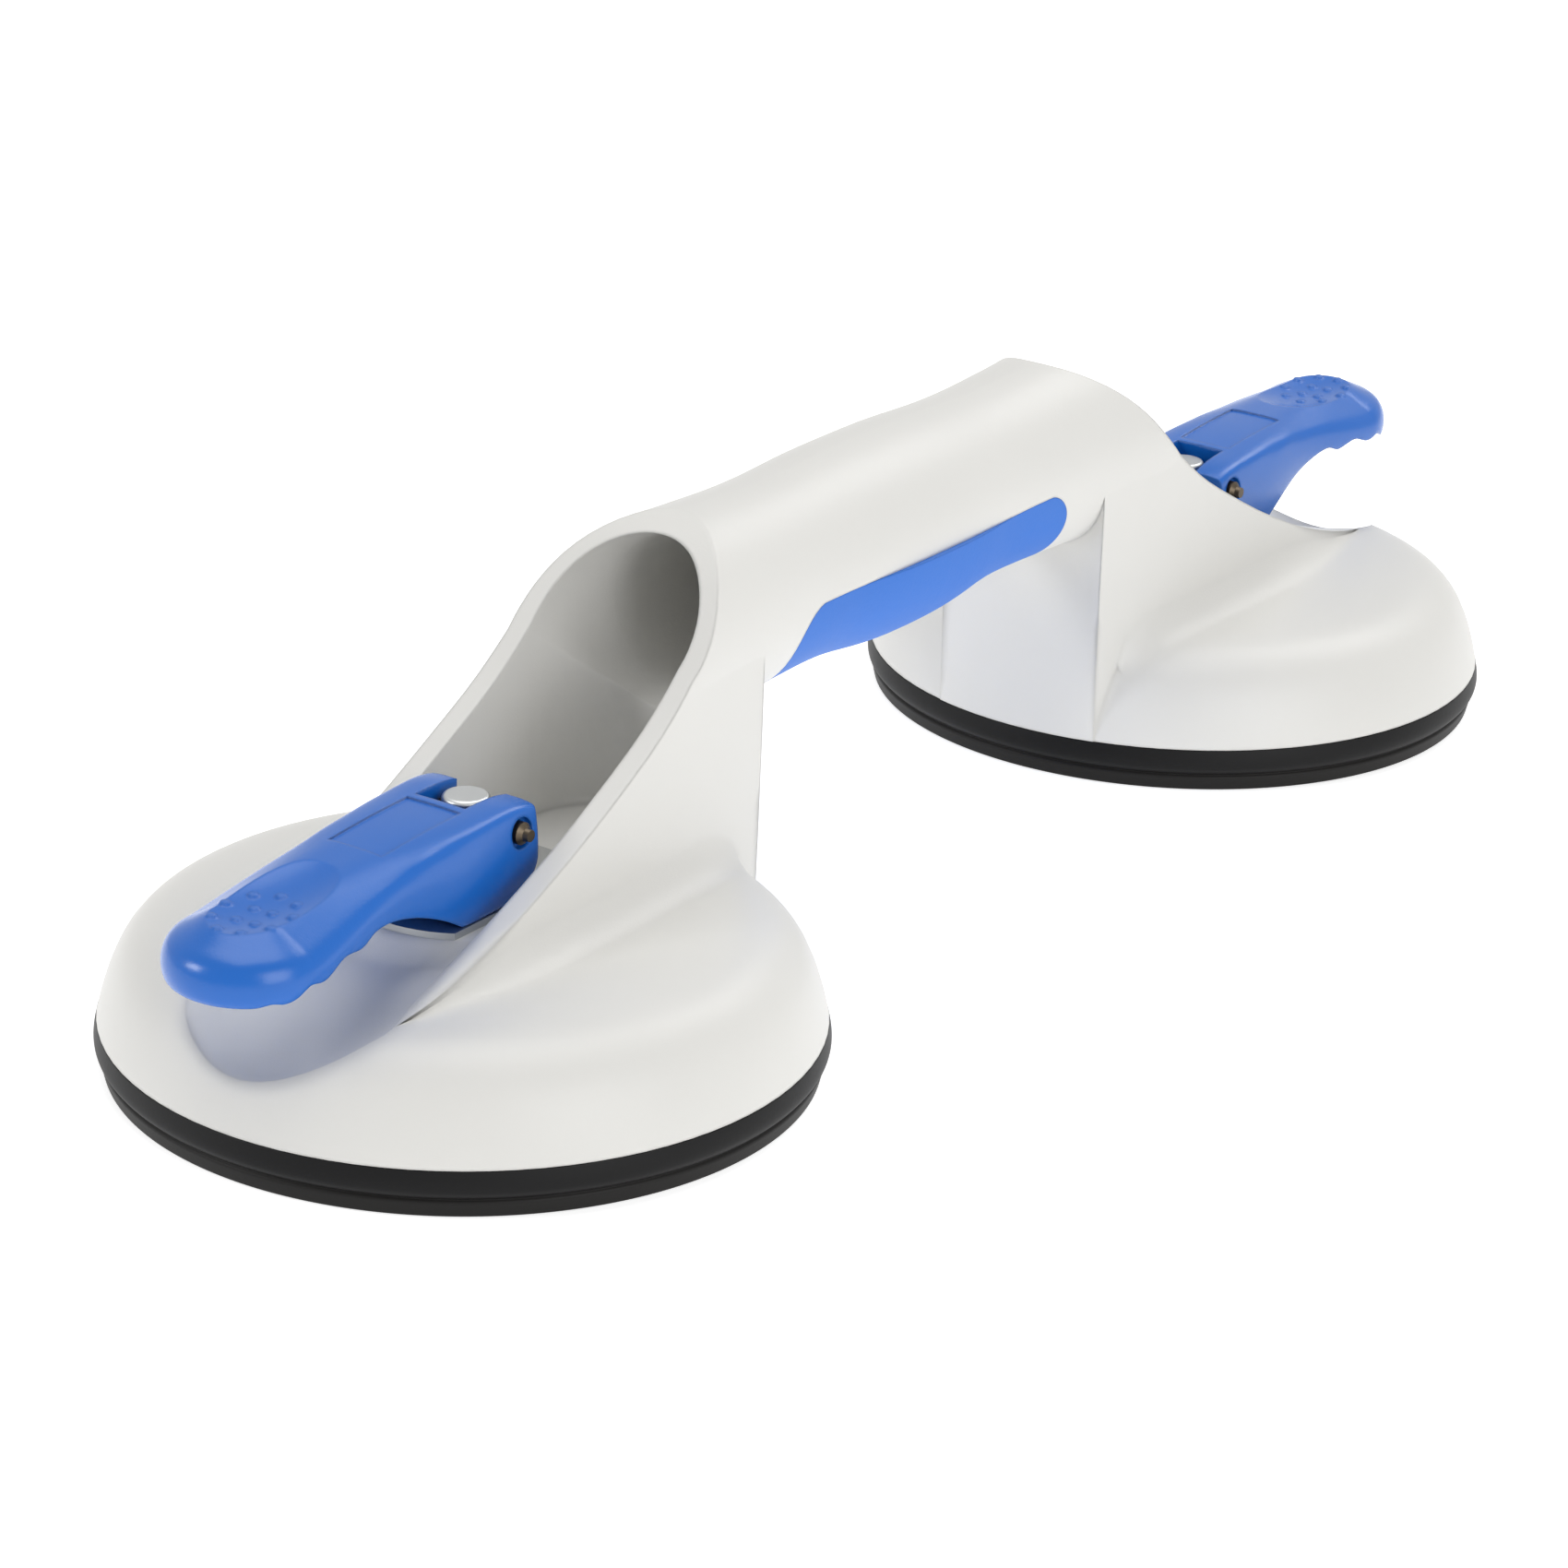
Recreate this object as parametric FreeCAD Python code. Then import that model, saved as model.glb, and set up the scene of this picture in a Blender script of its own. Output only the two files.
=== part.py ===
import FreeCAD, Part
import math
import os

# Twin-cup suction lifter for raised floor tiles. Millimetres, +Z up.
# The origin lies on the floor midway between the cups, +X runs along the
# handle. Cup A stands at -X, cup B at +X. Each cup is laid out with s = the
# distance from its axis towards the middle of the handle.

V = FreeCAD.Vector

# ---- driving sizes -------------------------------------------------------
cup_spacing = 223.2
rim_radius = 59.4
rim_height = 8.25
dome_height = 25.0
dome_wall = 3.2
handle_axis = 61.1
handle_radius = 17.3
grip_swell = 1.0
grip_half_length = 43.0
grip_depth = 2.3
bore_radius = 12.8
tower_half = 19.8
tower_wall = 4.1
stud_radius = 4.0
stud_head_rise = 3.9
stud_head_round = 0.8
boss_wall = 5.0
rib_count = 8
rib_thickness = 2.0
pin_radius = 1.9
pin_half_length = 13.2
pin_height = 42.0
lever_half = 11.1
lever_reach = 66.4
lever_tip_radius = 13.4
plate_radius = 20.0
plate_thickness = 1.2
locked_lift = 11.8
rear_lift = 4.1
rest_turn_b = 6.0
disc_radius = 19.0
disc_thickness = 3.0
rubber_thickness = 3.5
panel_length = 19.5
panel_half = 5.4
panel_depth = 0.35
dish_radius = 52.0
dish_bottom = -0.2
dot_radius = 1.2
dot_rise = 0.35
valley_radius = 6.0
valley_spread = 1.4

# ---- named clearances ----------------------------------------------------
running = 0.05
cam_gap = 0.15
fork_gap = 1.05
plate_hole_gap = 0.5
lip_gap = 0.1

# ---- sizes that follow ---------------------------------------------------
cup_x = cup_spacing / 2.0
plate_top = pin_height - locked_lift
plate_bottom = plate_top - plate_thickness
stroke = locked_lift - rear_lift
drop_rate = stroke / (math.pi / 2.0)
disc_bottom = stroke + 0.3 + rubber_thickness
disc_top = disc_bottom + disc_thickness
rim_inner = rim_radius - dome_wall
well_half = tower_half - tower_wall
cavity_top = dome_height - dome_wall
boss_bottom = disc_top + 1.2
well_floor = dome_height + 1.0


def curve(points):
    """A smooth edge through plain points."""
    spline = Part.BSplineCurve()
    spline.interpolate([V(*p) for p in points])
    return spline.toShape()


def chain(points):
    """Straight edges from point to point."""
    return [Part.makeLine(V(*a), V(*b)) for a, b in zip(points, points[1:])]


def turned(edges, axis_point, axis_dir):
    """A solid of revolution from closed profile edges."""
    face = Part.Face(Part.Wire(edges))
    return face.revolve(V(*axis_point), V(*axis_dir), 360)


def slab(edges, thickness, direction):
    """A closed outline pushed along a direction, centred on its plane."""
    face = Part.Face(Part.Wire(edges))
    step = V(*direction)
    face.translate(step * (-thickness / 2.0))
    return face.extrude(step * thickness)


def trace(start, steps):
    """Edges of an outline: a step is (end) for a line, (middle, end) for
    an arc."""
    edges = []
    here = start
    for step in steps:
        if len(step) == 1:
            edges.append(Part.makeLine(V(*here), V(*step[0])))
        else:
            arc = Part.Arc(V(*here), V(*step[0]), V(*step[1]))
            edges.append(arc.toShape())
        here = step[-1]
    return edges


def arc_step(here, end, heading):
    """The step from here to end that sets out along a heading."""
    chord = end - here
    side = heading - chord * (heading.dot(chord) / chord.dot(chord))
    if side.Length < 0.002:
        return (pair(end),)
    half = math.asin(side.Length / heading.Length)
    rise = 0.5 * chord.Length * math.tan(0.5 * half)
    middle = (here + end) * 0.5 + side.normalize() * rise
    return (pair(middle), pair(end))


def pair(point):
    return (point.x, point.y)


def flowing(points):
    """Steps of arcs that join smoothly and pass through (a, h) points."""
    spline = Part.BSplineCurve()
    flat = [V(a, h, 0.0) for a, h in points]
    spline.interpolate(flat)
    lean = [spline.tangent(spline.parameter(p))[0] for p in flat]
    steps = []
    for p0, p1, t0, t1 in zip(flat, flat[1:], lean, lean[1:]):
        gap = p1 - p0
        both = gap.dot(t0 + t1)
        spread = 2.0 * (1.0 - t0.dot(t1))
        square = gap.dot(gap)
        if spread < 1e-6:
            reach = square / (2.0 * both)
        else:
            root = math.sqrt(both * both + spread * square)
            reach = (root - both) / spread
        middle = (p0 + t0 * reach + p1 - t1 * reach) * 0.5
        steps.append(arc_step(p0, middle, t0))
        steps.append(arc_step(middle, p1, p1 - t1 * reach - middle))
    return steps


def spun_profile(start, steps):
    """A solid turned about cup A's axis from a half section in (r, z)."""
    def place(p):
        return (p[0] - cup_x, 0.0, p[1])
    edges = trace(place(start), [[place(p) for p in s] for s in steps])
    return turned(edges, (-cup_x, 0, 0), (0, 0, 1))


def only_solid(shape):
    """The largest solid of a result, cleaned of needless seams."""
    tidy = shape.removeSplitter()
    return max(tidy.Solids, key=lambda solid: solid.Volume)


def at(s, y, z):
    """A point of cup A from its own s, y and height."""
    return (s - cup_x, y, z)


# ---- housing -------------------------------------------------------------
def dome_side():
    """The cover's outline (r, z): upright skirt, round shoulder, flat top."""
    h = dome_height
    b = rim_height
    r = rim_radius
    return [(r, b), (r - 1.4, b + 5.2), (r - 2.4, b + 7.8),
            (r - 4.4, h - 5.3), (r - 6.9, h - 2.8), (r - 9.9, h - 1.2),
            (r - 14.4, h - 0.3), (r - 21.4, h)]


def dome():
    """Solid cup cover."""
    base = (0.0, rim_height)
    steps = [(dome_side()[0],)] + flowing(dome_side())
    return spun_profile(base, steps + [((0.0, dome_height),), (base,)])


def dome_level(r):
    """Height of the cover's outer surface at a radius."""
    side = [V(a, z, 0.0) for a, z in dome_side()]
    if r <= side[-1].x:
        return dome_height
    spline = Part.BSplineCurve()
    spline.interpolate(side)
    upright = Part.makeLine(V(r, -1.0, 0.0), V(r, 99.0, 0.0))
    return upright.distToShape(spline.toShape())[1][0][1].y


def platform():
    """Raised round seat for the wear plate, flared into the well floor."""
    r = plate_radius
    low = dome_height - 2.4
    side = [(r + 11.0, low), (r + 7.0, dome_height - 0.6),
            (r + 3.6, dome_height + 1.1), (r + 1.4, plate_bottom - 1.3),
            (r + 0.4, plate_bottom)]
    steps = [(side[0],)] + flowing(side)
    steps += [((0.0, plate_bottom),), ((0.0, low),)]
    half = well_half + 1.5
    strip = Part.makeBox(80.0, 2.0 * half, 30.0,
                         V(-cup_x - 40.0, -half, low))
    return spun_profile((0.0, low), steps).common(strip)


def side_points(crease_s, crease_y):
    """Plan of one tower side from the crease out along the wing."""
    w = tower_half
    return [(crease_s, crease_y), (47.0, w - 1.75), (36.0, w - 0.8),
            (12.0, w), (-18.0, w), (-34.0, w - 0.6), (-46.0, w - 2.6)]


def valley_size(s):
    """Fillet radius where a tower side meets the cover, along the side."""
    rise = 0.235 * (s + 37.5)
    fade = 0.9 * (53.5 - s)
    return max(0.3, min(valley_radius, rise, fade))


def valley_section(s, y, side):
    """Concave corner section between a tower side and the cover."""
    size = valley_size(s)
    sink = 0.3
    reach = size * valley_spread
    near = dome_level(math.hypot(s, y))
    far = dome_level(math.hypot(s, y + reach))
    high = (y - sink, near + size)
    corner = (y - 1.2, near - 1.4)
    low = (y + reach, far - sink)
    mid = (y + 0.29 * reach, near + 0.29 * (size + far - near) - 0.1)
    pts = [at(s, side * a, z) for a, z in (high, mid, low, corner)]
    return Part.Wire(trace(pts[0], [(pts[1], pts[2]), (pts[3],), (pts[0],)]))


def valley_fillets():
    """Soft concave fillets along both sides of one tower."""
    stations = [(51.0, -2.35), (48.0, -1.9), (40.0, -1.1), (30.0, -0.55),
                (18.0, -0.1), (4.0, 0.0), (-8.0, 0.0), (-18.0, 0.0),
                (-26.0, -0.2), (-33.0, -0.55), (-37.0, -0.95)]
    strips = []
    for side in (-1.0, 1.0):
        wires = [valley_section(s, tower_half + d, side) for s, d in stations]
        strips.append(Part.makeLoft(wires, True, False))
    return strips


def tower_section(z, crease_s, middle_s):
    """Closed plan outline of the tower at one height."""
    crease_y = tower_half - 2.7
    side = side_points(crease_s, crease_y)
    low = [at(s, -y, z) for s, y in side]
    high = [at(s, y, z) for s, y in reversed(side)]
    inner = Part.Arc(V(*at(crease_s, crease_y, z)), V(*at(middle_s, 0, z)),
                     V(*at(crease_s, -crease_y, z))).toShape()
    close = Part.makeLine(V(*low[-1]), V(*high[0]))
    return Part.Wire([curve(low), close, curve(high), inner])


def tower():
    """Hollow-backed tower that carries the handle, before it is cut."""
    crease_y = tower_half - 2.7
    on_rim = math.sqrt(rim_radius ** 2 - crease_y ** 2)
    low = tower_section(rim_height, on_rim + 0.2, rim_radius + 0.2)
    mid = tower_section(30.0, on_rim + 0.8, rim_radius - 4.6)
    top = tower_section(handle_axis - 0.6, on_rim + 1.1, rim_radius - 7.0)
    return Part.makeLoft([low, mid, top], True, False).cut(rim_cut())


def handle_body(extra, swell):
    """Solid hand grip turned about its own level axis: a swell at the palm,
    a waist beside it and a flare into the towers."""
    t = cup_x - 111.6
    r = handle_radius + extra
    return barrel([(-9.0, r + swell), (0.0, r + swell),
                   (11.0, r + swell * 0.75), (24.0, r - 0.25),
                   (34.0, r - 0.4), (46.0 + t, r), (56.0 + t, r + 0.5),
                   (66.0 + t, r + 1.3), (75.0 + t, r + 1.9),
                   (82.0 + t, r + 1.2)])


def barrel(half):
    """A solid turned about the handle axis from half its outline (x, r)."""
    level = handle_axis
    steps = flowing(half)[2:]
    end = half[-1][0]
    out_line = []
    for sign in (1.0, -1.0):
        run = [[(sign * x, 0.0, level + h) for x, h in step]
               for step in steps]
        start = (0.0, 0.0, level + half[1][1])
        out_line += trace(start, run)
        out_line.append(Part.makeLine(V(*run[-1][-1]),
                                      V(sign * end, 0.0, level)))
    out_line.append(Part.makeLine(V(-end, 0.0, level), V(end, 0.0, level)))
    wire = Part.Wire(Part.sortEdges(out_line)[0])
    return Part.Face(wire).revolve(V(0, 0, level), V(1, 0, 0), 360)


def rim_line():
    """Side view of the open end: from the handle top down the wings."""
    rise = handle_axis - 61.1
    return [(64.0, 81.2 + rise), (58.5, 79.3 + rise), (54.8, 77.7 + rise),
            (51.2, 75.5 + rise), (46.6, 71.8 + rise), (42.8, 67.8 + rise),
            (38.4, 62.9 + rise), (33.0, 57.9 + rise * 0.9),
            (25.7, 52.4 + rise * 0.7), (17.0, 47.3 + rise * 0.5),
            (7.0, 41.9 + rise * 0.3), (-5.0, 36.1 + rise * 0.1),
            (-15.0, 31.9), (-25.0, 28.5), (-34.0, 26.1), (-39.5, 24.9),
            (-43.5, 23.6), (-49.0, 21.0)]


def rim_cut():
    """Everything above the sloping rim of one open end."""
    pts = [at(s, 0.0, z) for s, z in rim_line()]
    last = pts[-1]
    first = pts[0]
    top = handle_axis + 60.0
    edges = [curve(pts)] + chain([last, at(-90.0, 0, last[2]),
                                  at(-90.0, 0, top),
                                  (first[0], 0, top), first])
    return slab(edges, 90.0, (0, 1, 0))


def well_section(z, shift):
    """Plan outline of the open well, widening into the finger scoop."""
    w = well_half
    back = rim_radius - 9.2 + shift
    half = [(-70.0, w + 4.0), (-56.0, w + 3.7), (-47.0, w + 3.3),
            (-40.0, w + 2.5), (-33.0, w + 1.1), (-22.0, w + 0.1),
            (10.0, w), (34.0, w - 0.3),
            (43.0, w - 1.5), (48.2, w - 5.2), (50.4 + shift, w - 9.2)]
    pts = [at(s, -y, z) for s, y in half] + [at(back, 0.0, z)]
    pts += [at(s, y, z) for s, y in reversed(half)]
    close = Part.makeLine(V(*pts[-1]), V(*pts[0]))
    return Part.Wire([curve(pts), close])


def floor_section(s, floor, bend):
    """Section across the cup of the space above the well's floor."""
    top = handle_axis + 8.0
    half = 24.0
    count = 4
    run = []
    for i in range(-count, count + 1):
        y = half * i / count
        run.append(at(s, y, floor + bend * y * y))
    sides = chain([run[-1], at(s, half, top), at(s, -half, top), run[0]])
    return Part.Wire([curve(run)] + sides)


def above_floor(drop):
    """Space above the well floor and finger scoop, lowered if asked."""
    f = well_floor
    h = dome_height
    rows = [(float(u), f, 0.0) for u in range(66, -18, -7)]
    rows += [(-23.0, f - 0.3, 0.001), (-29.0, f - 1.7, 0.005),
             (-35.0, h - 4.3, 0.012), (-41.0, h - 7.1, 0.019),
             (-47.0, h - 8.8, 0.024), (-53.0, h - 9.1, 0.028),
             (-60.0, h - 8.5, 0.031), (-74.0, h - 7.5, 0.033)]
    wires = [floor_section(s, z - drop, b) for s, z, b in rows]
    return Part.makeLoft(wires, True, False)


def well_cut():
    """Open well and finger scoop, from their floor to the handle axis."""
    low = well_section(dome_height - 14.0, 1.4)
    mid = well_section(40.0, 0.0)
    top = well_section(handle_axis + 0.2, -0.8)
    body = Part.makeLoft([low, mid, top], True, False)
    return body.common(above_floor(0.0))


def bore_cut():
    """Bore along the handle that widens into both wells."""
    w = well_half
    r = bore_radius
    t = cup_x - 111.6
    return barrel([(-30.0, r), (0.0, r), (30.0, r), (46.0 + t, r + 0.1),
                   (55.0 + t, r + 0.6), (60.5 + t, r + 2.1),
                   (63.5 + t, w - 0.35), (70.0 + t, w - 0.1),
                   (cup_x + 12.0, w + 0.05)])


def cavity():
    """Hollow under the dome, kept one wall away from the scoop."""
    r = rim_inner
    top = cavity_top
    b = rim_height
    side = [(r, b + 3.0), (r - 1.2, b + 6.2), (r - 3.6, top - 3.4),
            (r - 8.0, top - 0.9), (r - 14.0, top)]
    steps = [((r, b - 1.0),), ((r, b + 3.0),)] + flowing(side)
    steps += [((0.0, top),), ((0.0, b - 1.0),)]
    return spun_profile((0.0, b - 1.0), steps).cut(above_floor(dome_wall))


def ribs():
    """Radial stiffeners between the guide boss and the skirt."""
    low = boss_bottom + 0.6
    step = 360.0 / rib_count
    spokes = []
    for i in range(rib_count):
        rib = Part.makeBox(rim_inner - 6.0, rib_thickness,
                           cavity_top - low + 1.0,
                           V(stud_radius + 3.0, -rib_thickness / 2.0, low))
        rib.rotate(V(0, 0, 0), V(0, 0, 1), step * (i + 0.5))
        rib.translate(V(-cup_x, 0, 0))
        spokes.append(rib)
    return spokes


def guide_boss():
    """Thick tube under the dome that guides the draw stud."""
    return Part.makeCylinder(stud_radius + boss_wall,
                             cavity_top - boss_bottom + 1.0,
                             V(-cup_x, 0, boss_bottom))


def grip_pocket(extra):
    """Lower half of the hand grip between the insert's rounded ends."""
    half = grip_half_length + extra
    z = handle_axis + extra
    low = handle_axis - 30.0
    pts = [(half, z - 16.0), (half - 0.5, z - 7.0), (half - 2.2, z - 3.2),
           (half - 4.2, z - 1.2), (half - 7.0, z)]
    left = [(-x, 0.0, h) for x, h in pts]
    right = [(x, 0.0, h) for x, h in reversed(pts)]
    edges = [curve(left), Part.makeLine(V(*left[-1]), V(*right[0])),
             curve(right)]
    edges += chain([right[-1], (half, 0, low), (-half, 0, low), left[0]])
    return slab(edges, 80.0, (0, 1, 0))


def grip_core(extra):
    """Body of revolution that the soft insert lies around."""
    return handle_body(-grip_depth + extra, 0.2)


def spun(shape):
    """The same shape at the other cup, turned about the origin."""
    copy = shape.copy()
    copy.rotate(V(0, 0, 0), V(0, 0, 1), 180)
    return copy


def housing():
    """One-piece moulding: two cup covers, two towers and the handle."""
    half = dome().fuse([tower()] + valley_fillets())
    tube = handle_body(0.0, 0.4).cut([rim_cut(), spun(rim_cut())])
    body = tube.fuse([half, spun(half)])
    tools = [well_cut(), cavity()]
    tools += [spun(t) for t in tools]
    body = body.cut(tools + [bore_cut()])
    body = body.cut(grip_pocket(0.0).cut(grip_core(0.0)))
    inner = [platform(), guide_boss()]
    inner += [r.common(cavity()) for r in ribs()]
    inner += [spun(t) for t in inner]
    body = body.fuse(inner)
    holes = [Part.makeCylinder(stud_radius + running, 60.0, V(x, 0, 0))
             for x in (-cup_x, cup_x)]
    return only_solid(body.cut(holes))


def grip_insert():
    """Soft insert in the underside of the hand grip."""
    skin = handle_body(0.0, 0.4 + grip_swell)
    shell = skin.common(grip_pocket(0.0)).cut(grip_core(0.0))
    return only_solid(shell)


# ---- pieces of one cup ---------------------------------------------------
def suction_pad(drop):
    """Rubber pad: lip, flexing ring and hub moulded round the disc."""
    r = rim_radius
    hub = disc_radius + 4.5
    base = stroke + 0.3 - drop
    seat = disc_bottom - drop
    brim = disc_top - drop
    plug = rim_inner - lip_gap
    under = [(hub - 1.0, base), (hub + 4.0, base - 0.7),
             (r - 20.0, 3.7 - drop * 0.5), (r - 13.0, 1.3), (r - 9.5, 0.0)]
    band = [(r + 0.35, 4.1), (r + 0.6, 5.4), (r + 0.35, 7.3),
            (r, rim_height)]
    inside = [(rim_inner - 2.4, rim_height + 1.7),
              (rim_inner - 5.0, rim_height - 1.4), (r - 17.5, base - 0.2),
              (hub + 5.0, base + 3.0), (hub, brim - 0.6)]
    steps = [((hub - 1.0, base),)] + flowing(under)
    steps += [((r - 0.95, 0.0),), ((r - 0.35, 2.6),), ((r - 0.75, 3.05),),
              (band[0],)] + flowing(band)
    steps += [((plug, rim_height),), ((plug - 0.2, rim_height + 1.6),),
              (inside[0],)] + flowing(inside)
    steps += [((hub - 1.2, brim),), ((disc_radius, brim),),
              ((disc_radius, seat),), ((0.0, seat),), ((0.0, base),)]
    return spun_profile((0.0, base), steps)


def insert_disc():
    """Steel disc bonded into the rubber, with a hole for the stud end."""
    body = Part.makeCylinder(disc_radius, disc_thickness,
                             V(-cup_x, 0, disc_bottom))
    hole = Part.makeCylinder(stud_radius - 1.0, 40.0, V(-cup_x, 0, 0))
    return body.cut(hole)


def draw_stud():
    """Stud from the steel disc up through the plate to the lever fork."""
    r = stud_radius
    c = stud_head_round
    top = pin_height + stud_head_rise
    steps = [((r - 1.0, disc_bottom),), ((r - 1.0, disc_top),),
             ((r, disc_top),), ((r, top - c),),
             ((r - 0.3 * c, top - 0.3 * c), (r - c, top)), ((0.0, top),),
             ((0.0, disc_bottom),)]
    body = spun_profile((0.0, disc_bottom), steps)
    hole = Part.makeCylinder(pin_radius, 60.0, V(-cup_x, -30, pin_height),
                             V(0, 1, 0))
    return body.cut(hole)


def pivot_pin():
    """Pin pressed through the stud, with stepped and chamfered ends."""
    r = pin_radius
    e = pin_half_length
    z = pin_height
    run = [(-e, 0.0), (-e, r - 0.9), (-e + 0.9, r - 0.75), (-e + 1.6, r),
           (e - 1.6, r), (e - 0.9, r - 0.75), (e, r - 0.9), (e, 0.0),
           (-e, 0.0)]
    edges = chain([(-cup_x, y, z + h) for y, h in run])
    return turned(edges, (-cup_x, 0, z), (0, 1, 0))


def wear_plate():
    """Plated steel plate with two flats that the lever foot bears on."""
    body = Part.makeCylinder(plate_radius, plate_thickness,
                             V(-cup_x, 0, plate_bottom))
    flats = Part.makeBox(60.0, 2.0 * lever_half, 20.0,
                         V(-cup_x - 30.0, -lever_half, plate_bottom - 5.0))
    hole = Part.makeCylinder(stud_radius + plate_hole_gap, 40.0,
                             V(-cup_x, 0, plate_bottom - 5.0))
    return body.common(flats).cut(hole)


def out(u, y, z):
    """A lever point: u outboard of the pin, z above the pin axis."""
    return (-cup_x - u, y, pin_height + z)


def cam_curve():
    """Foot corner whose bearing height falls evenly as the lever turns."""
    run = []
    steps = 12
    for i in range(steps + 1):
        a = 0.5 * math.pi * i / steps
        h = locked_lift - cam_gap - drop_rate * a
        u = -h * math.sin(a) + drop_rate * math.cos(a)
        z = -h * math.cos(a) - drop_rate * math.sin(a)
        run.append(out(u, 0.0, z))
    return run


def along(u):
    """Lever length scaled in front of the foot."""
    k = (lever_reach - 14.2) / (66.4 - 14.2)
    return u if u < 14.2 else 14.2 + (u - 14.2) * k


def lever_side():
    """Side outline of the lever: foot, arch and finger ridges below."""
    cam = cam_curve()
    foot = -locked_lift + cam_gap
    rear = -rear_lift + cam_gap
    under = [(14.2, foot), (18.0, -9.4), (24.0, -6.7), (30.0, -4.9),
             (35.0, -4.2), (37.6, -4.6), (40.0, -5.8), (42.6, -5.6),
             (46.0, -5.5), (49.0, -6.9), (51.6, -7.3), (54.0, -6.9),
             (56.6, -8.5), (58.5, -9.0), (60.2, -8.6), (62.4, -9.6),
             (64.0, -9.8), (65.6, -9.4), (67.6, -10.2), (70.0, -10.4)]
    under = [out(along(u), 0.0, z) for u, z in under]
    tall = out(along(70.0), 0.0, 8.0)
    edges = [curve(cam)]
    edges += chain([cam[0], under[0]])
    edges.append(curve(under))
    edges += chain([under[-1], tall, out(rear, 0.0, 8.0), cam[-1]])
    return edges


def envelope_half(u, half, top, fall, low):
    """Half section of the lever's rounded outer form, from top to bottom."""
    edge = 1.3 + 0.8 * fall
    run = [(0.0, top), (half * 0.45, top - fall * 0.12),
           (half - edge, top - fall * 0.66),
           (half - 0.3 * edge, top - fall - 0.18 * edge),
           (half, top - fall - edge), (half - 0.05, low + 2.6),
           (half - 0.7, low + 0.8), (half - 2.8, low), (0.0, low)]
    spline = Part.BSplineCurve()
    spline.interpolate(Points=[V(*out(u, y, z)) for y, z in run],
                       InitialTangent=V(0, 1, 0), FinalTangent=V(0, -1, 0))
    return spline.toShape()


def mirrored(edge):
    """The same edge on the other side of the lever's middle plane."""
    return edge.mirror(V(0, 0, 0), V(0, 1, 0))


def envelope_wire(row):
    """Closed section of the rounded outer form at one station."""
    edge = envelope_half(*row)
    return Part.Wire(Part.sortEdges([edge, mirrored(edge)])[0])


def lever_form():
    """Rounded outer form: lofted arm that ends in a turned round tip."""
    w = lever_half
    r = lever_tip_radius
    c = lever_reach - r
    rows = [(-9.0, w, 2.4, 0.3, -13.0), (-4.4, w, 3.8, 0.3, -13.0),
            (-0.5, w, 4.6, 0.4, -13.0), (6.0, w, 4.75, 0.6, -13.0),
            (14.0, w, 4.6, 0.9, -12.9), (22.0, w, 4.2, 1.2, -9.2),
            (30.0, w + 0.2, 3.6, 1.7, -6.6), (38.0, w + 0.9, 2.9, 2.3, -7.0),
            (45.0, w + 1.7, 2.1, 2.9, -8.2), (50.0, r - 0.15, 1.4, 3.2, -9.5),
            (53.0, r, 1.0, 3.3, -9.9)]
    rows = [(along(u), y, z, f, b) for u, y, z, f, b in rows]
    arm = Part.makeLoft([envelope_wire(row) for row in rows], True, False)
    half = envelope_half(c, r, *rows[-1][2:])
    top = V(*out(c, 0.0, rows[-1][2]))
    low = V(*out(c, 0.0, rows[-1][4]))
    face = Part.Face(Part.Wire(Part.sortEdges(
        [half, Part.makeLine(low, top)])[0]))
    tip = face.revolve(top, V(0, 0, 1), 180)
    return arm.fuse(tip)


def thumb_dish():
    """Oval hollow for the thumb near the lever tip."""
    ball = Part.makeSphere(dish_radius)
    matrix = FreeCAD.Matrix()
    matrix.scale(1.0, 0.72, 1.0)
    oval = ball.transformGeometry(matrix)
    oval.translate(V(*out(lever_reach - 13.2, 0.0,
                          dish_radius + dish_bottom)))
    return oval


def top_panel(body, start):
    """Shallow oblong recess that follows the lever's top."""
    box = Part.makeBox(panel_length, 2.0 * panel_half, 9.0,
                       V(*out(start + panel_length, -panel_half, -1.0)))
    sunk = body.copy()
    sunk.translate(V(0, 0, -panel_depth))
    return box.cut(sunk)


def thumb_dots(body):
    """Small raised dots on a body's dished top: an outer and inner oval."""
    dots = []
    for count, ru, ry, turn in ((9, 7.4, 6.0, 0.2), (4, 3.2, 2.4, 0.7)):
        for i in range(count):
            a = 2.0 * math.pi * i / count + turn
            u = lever_reach - 14.8 + ru * math.cos(a)
            y = ry * math.sin(a)
            probe = Part.makeLine(V(*out(u, y, -4.0)), V(*out(u, y, 9.0)))
            top = probe.common(body).BoundBox.ZMax - pin_height
            dots.append(Part.makeCone(dot_radius + 0.6, dot_radius - 0.5,
                                      dot_rise + 1.0,
                                      V(*out(u, y, top - 1.0))))
    return dots


def lever():
    """Clamping lever: forked rear, cam foot, recessed panel, thumb dish."""
    body = slab(lever_side(), 60.0, (0, 1, 0)).common(lever_form())
    gap = stud_radius + fork_gap
    sweep = math.hypot(stud_radius, stud_head_rise) + fork_gap
    slot = Part.makeBox(20.0 + sweep, 2.0 * gap, 60.0,
                        V(*out(sweep, -gap, -30.0)))
    hole = Part.makeCylinder(pin_radius + running, 60.0,
                             V(*out(0, -30.0, 0)), V(0, 1, 0))
    rings = [Part.makeCylinder(pin_radius + 0.75, 5.0,
                               V(*out(0, side, 0)), V(0, 1, 0))
             for side in (-lever_half - 4.0, lever_half - 1.0)]
    panel = top_panel(body, sweep + 1.6)
    body = body.cut([slot, hole, panel] + rings).cut(thumb_dish())
    return only_solid(body.fuse(thumb_dots(body)))


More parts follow.
